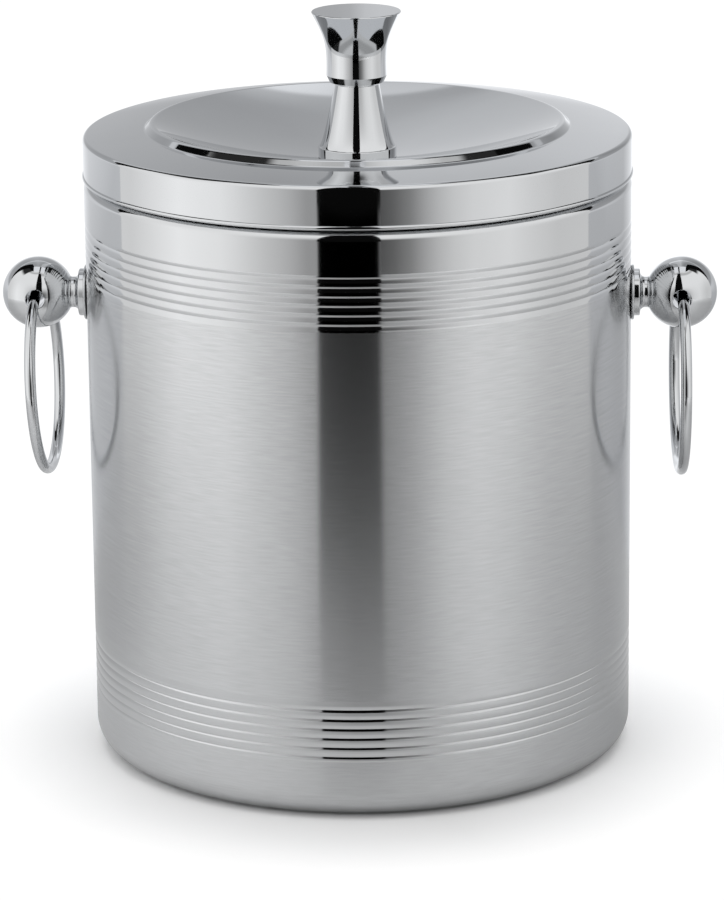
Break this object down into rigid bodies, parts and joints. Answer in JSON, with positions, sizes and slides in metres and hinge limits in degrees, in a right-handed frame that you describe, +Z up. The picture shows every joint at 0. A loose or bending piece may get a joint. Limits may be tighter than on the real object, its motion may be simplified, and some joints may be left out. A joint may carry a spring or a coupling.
{
  "type": "ice bucket",
  "caption": "Double-walled steel ice bucket with a brushed wall, polished grooved bands, a dished lift-off lid with a flared knob, and a loose ring handle on each side.",
  "frame": {"origin": "centre of the flat ring that the bucket stands on", "axes": "+Z up along the bucket's axis, the two handles on +X and -X"},
  "size_m": [0.2364, 0.1808, 0.2467],
  "materials": {
    "brushed_steel": "stainless steel, brushed round the wall, with mirror-polished bands",
    "polished_steel": "mirror-polished stainless steel",
    "satin_steel": "satin stainless steel",
    "fastener_steel": "plain bright steel",
    "silicone": "matte food-grade silicone"
  },
  "bodies": {
    "bucket": {"outer_shell": "brushed_steel", "inner_liner": "satin_steel", "base_plate": "satin_steel", "left_handle_post": "polished_steel", "left_rosette": "polished_steel", "left_handle_screw": "fastener_steel", "left_lock_washer": "fastener_steel", "left_backing_plate": "fastener_steel", "right_handle_post": "polished_steel", "right_rosette": "polished_steel", "right_handle_screw": "fastener_steel", "right_lock_washer": "fastener_steel", "right_backing_plate": "fastener_steel"},
    "lid": {"lid_cover": "polished_steel", "lid_pan": "satin_steel", "lid_gasket": "silicone", "knob_base": "polished_steel", "knob_top": "polished_steel", "knob_screw": "fastener_steel", "knob_washer": "fastener_steel", "knob_lock_washer": "fastener_steel"},
    "left_ring_body": {"left_ring": "polished_steel"},
    "right_ring_body": {"right_ring": "polished_steel"}
  },
  "joints": [
    {"name": "lid_lift", "type": "slide", "parent": "bucket", "child": "lid", "axis": [0, 0, 1], "range_m": [0, 0.12]},
    {"name": "left_ring_swing", "type": "hinge", "parent": "bucket", "child": "left_ring_body", "pos_m": [-0.1064, 0, 0.1528], "axis": [0, 1, 0], "range_deg": [-11, 197.5]},
    {"name": "right_ring_swing", "type": "hinge", "parent": "bucket", "child": "right_ring_body", "pos_m": [0.1064, 0, 0.1528], "axis": [0, -1, 0], "range_deg": [-13.5, 195]}
  ]
}
